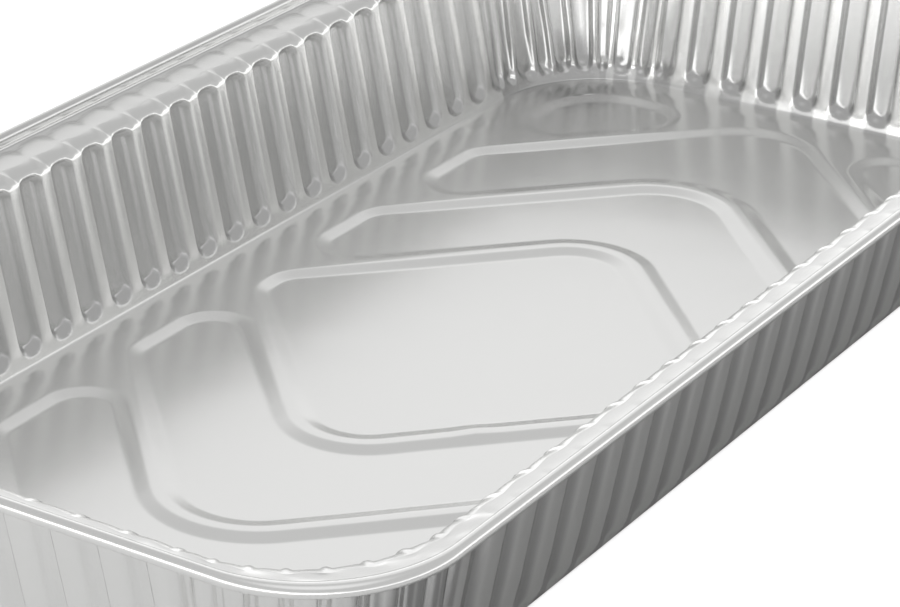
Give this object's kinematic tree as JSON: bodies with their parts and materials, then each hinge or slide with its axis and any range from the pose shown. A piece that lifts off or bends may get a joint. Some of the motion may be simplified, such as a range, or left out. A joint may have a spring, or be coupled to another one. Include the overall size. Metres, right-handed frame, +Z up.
{
  "type": "foil roasting pan",
  "caption": "Rectangular aluminium foil roasting pan with sloping fluted walls, a flat ledge, an upstanding rolled edge and a base of sunk panels between raised ribs.",
  "frame": {"origin": "centre of the pan's plan, on the surface that the panels' undersides stand on", "axes": "+X along the pan's length, +Y across its width, +Z up out of its open top"},
  "size_m": [0.325, 0.17, 0.042],
  "materials": {
    "foil": "bright rolled foil, slightly wavy"
  },
  "bodies": {
    "root": {"pan": "foil"}
  },
  "joints": []
}
